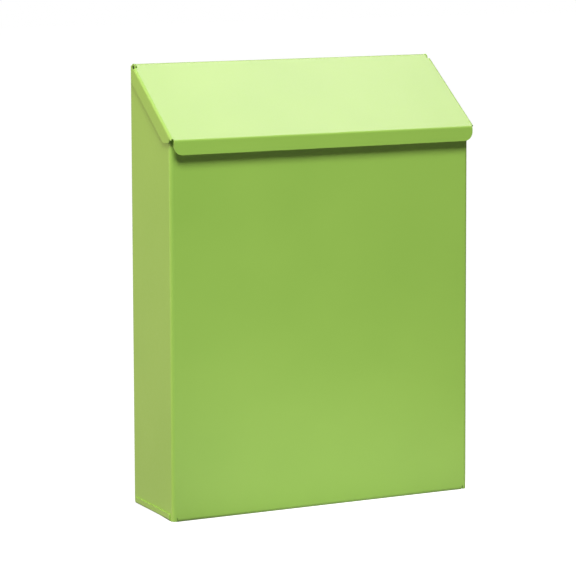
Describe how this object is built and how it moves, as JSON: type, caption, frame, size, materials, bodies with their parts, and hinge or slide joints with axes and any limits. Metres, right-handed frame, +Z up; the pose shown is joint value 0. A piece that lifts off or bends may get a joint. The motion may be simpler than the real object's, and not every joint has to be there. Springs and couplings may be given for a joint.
{
  "type": "wall mounted mailbox",
  "caption": "Wall-mounted sheet-steel mailbox with a plain front and a sloping lift-up lid, hinged on a rod along its top back edge.",
  "frame": {"origin": "centre of the rectangle of wall holes, on the wall side of the back plate", "axes": "+Y points into the wall, so the front faces -Y; +Z is up; +X is to the right of someone facing the front"},
  "size_m": [0.2636, 0.0857, 0.3498],
  "materials": {
    "green_coat": "satin, finely textured powder coat",
    "plated_steel": "satin zinc plate",
    "black_rubber": "matt"
  },
  "bodies": {
    "box": {"front_shell": "green_coat", "bottom_pan": "green_coat", "back_plate": "green_coat", "hinge_rod": "plated_steel", "bumper_left": "black_rubber", "bumper_right": "black_rubber", "wall_grommets": "black_rubber"},
    "lid": {"lid": "green_coat"}
  },
  "joints": [
    {"name": "lid_hinge", "type": "hinge", "parent": "box", "child": "lid", "pos_m": [0, -0.0082, 0.1265], "axis": [-1, 0, 0], "range_deg": [0, 125]}
  ]
}
